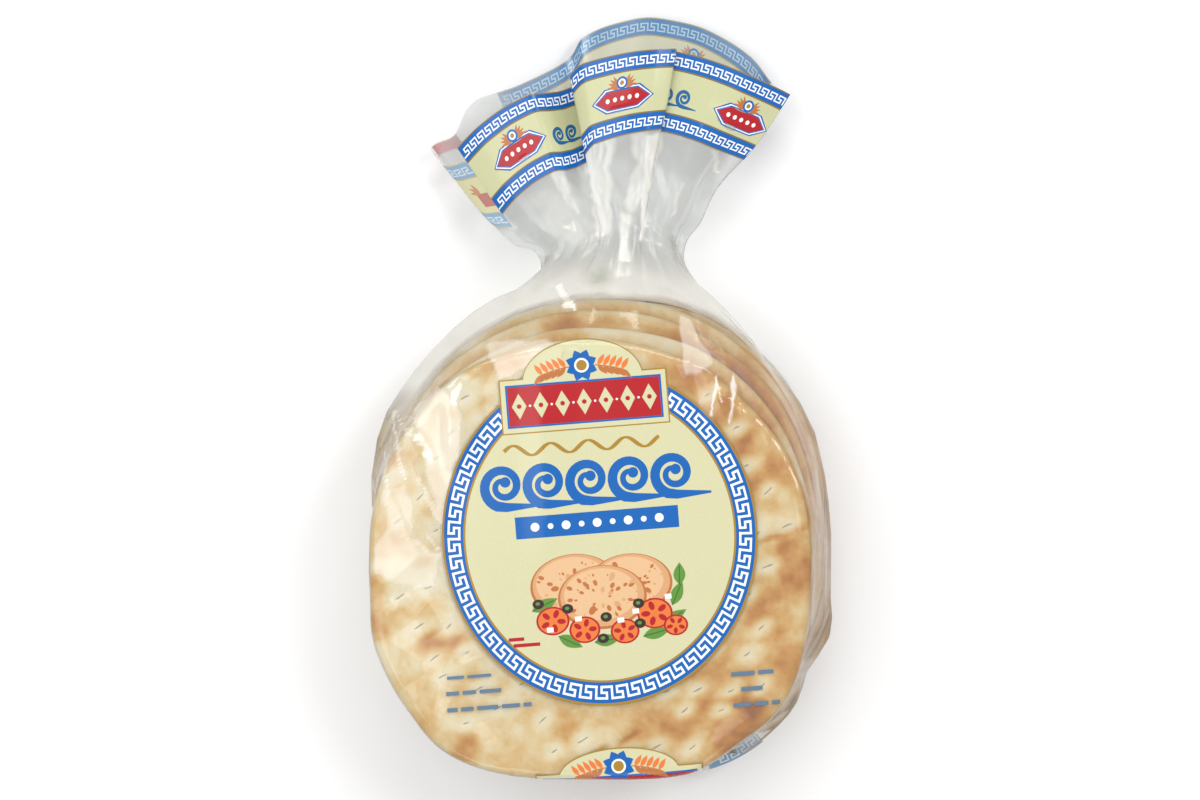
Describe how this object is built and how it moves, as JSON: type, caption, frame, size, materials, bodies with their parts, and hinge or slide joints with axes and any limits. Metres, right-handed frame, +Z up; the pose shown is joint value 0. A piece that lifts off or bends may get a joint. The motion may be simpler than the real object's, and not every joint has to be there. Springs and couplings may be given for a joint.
{
  "type": "bag of pita bread",
  "caption": "Clear film bag holding a stack of round flat breads, gathered at the neck and fanned open at the mouth, lying on its back.",
  "frame": {"origin": "middle of the flat underside the bag rests on, below the centre of the lowest bread", "axes": "+Z up out of the printed front of the bag, +Y from the closed end towards the gathered mouth, +X to the right of the front"},
  "size_m": [0.2154, 0.347, 0.0776],
  "materials": {
    "clear_film": "clear, lightly crumpled gloss film",
    "green_plastic": "satin moulded sheet",
    "bread_crust": "soft cream crumb with golden brown baked patches",
    "printed_ink": "opaque ink printed on the film"
  },
  "bodies": {
    "root": {"bag": "clear_film", "neck_tag": "green_plastic"}
  },
  "joints": []
}
